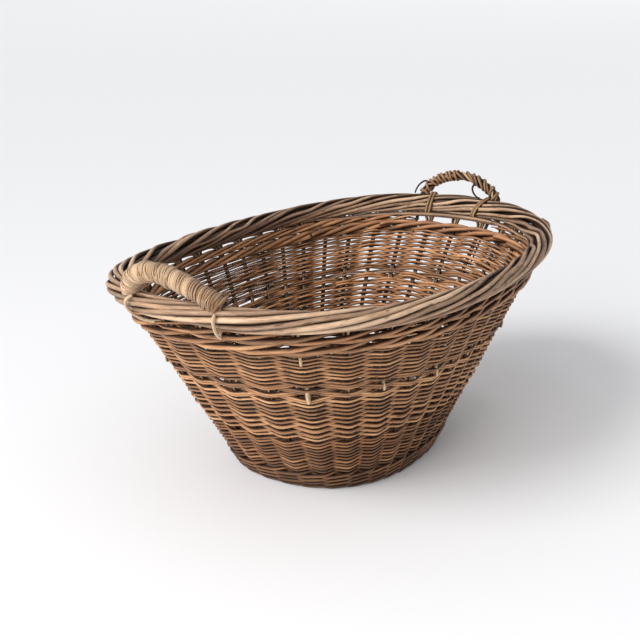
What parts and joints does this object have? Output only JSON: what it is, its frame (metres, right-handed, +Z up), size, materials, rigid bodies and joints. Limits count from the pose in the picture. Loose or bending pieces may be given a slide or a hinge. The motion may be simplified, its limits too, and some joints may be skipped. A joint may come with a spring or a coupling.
{
  "type": "laundry basket",
  "caption": "Oval woven willow laundry basket with flared walls, a thick rod border, one twine-bound bow handle and one willow-roped bow handle.",
  "frame": {"origin": "on the ground, below the middle of the rim; the foot sits about 28 mm towards the twine-bound handle", "axes": "+X along the basket from the twine-bound handle to the roped handle, +Y across it, +Z up"},
  "size_m": [0.7732, 0.5114, 0.3472],
  "materials": {
    "stake_willow": "matt, aged willow rod",
    "lower_willow": "matt, darker red-brown willow",
    "weave_willow": "matt, aged brown willow with pale highlights",
    "border_willow": "matt, weathered grey-tan willow",
    "base_willow": "matt, aged brown willow",
    "handle_willow": "satin, handled brown willow",
    "twine": "matt, fibrous jute twine"
  },
  "bodies": {
    "root": {"stake_01": "stake_willow", "stake_02": "stake_willow", "stake_03": "stake_willow", "stake_04": "stake_willow", "stake_05": "stake_willow", "stake_06": "stake_willow", "stake_07": "stake_willow", "stake_08": "stake_willow", "stake_09": "stake_willow", "stake_10": "stake_willow", "stake_11": "stake_willow", "stake_12": "stake_willow", "stake_13": "stake_willow", "stake_14": "stake_willow", "stake_15": "stake_willow", "stake_16": "stake_willow", "stake_17": "stake_willow", "stake_18": "stake_willow", "stake_19": "stake_willow", "stake_20": "stake_willow", "stake_21": "stake_willow", "stake_22": "stake_willow", "stake_23": "stake_willow", "stake_24": "stake_willow", "stake_25": "stake_willow", "stake_26": "stake_willow", "stake_27": "stake_willow", "stake_28": "stake_willow", "stake_29": "stake_willow", "stake_30": "stake_willow", "stake_31": "stake_willow", "stake_32": "stake_willow", "stake_33": "stake_willow", "stake_34": "stake_willow", "stake_35": "stake_willow", "stake_36": "stake_willow", "foot_wale": "lower_willow", "lower_weave": "lower_willow", "middle_weave": "weave_willow", "upper_weave": "weave_willow", "top_wale": "weave_willow", "rod_border": "border_willow", "base_sticks": "base_willow", "base_weave": "base_willow", "near_handle_twine": "twine", "near_twine_tail_left": "twine", "near_twine_tail_right": "twine", "near_handle_bow": "handle_willow", "far_handle_bow": "handle_willow", "far_handle_roping": "handle_willow", "far_lashing_left_1": "handle_willow", "far_lashing_left_2": "handle_willow", "far_lashing_right_1": "handle_willow", "far_lashing_right_2": "handle_willow", "far_loose_rod_left": "handle_willow", "far_loose_rod_right": "handle_willow", "rim_loose_rod": "handle_willow"}
  },
  "joints": []
}
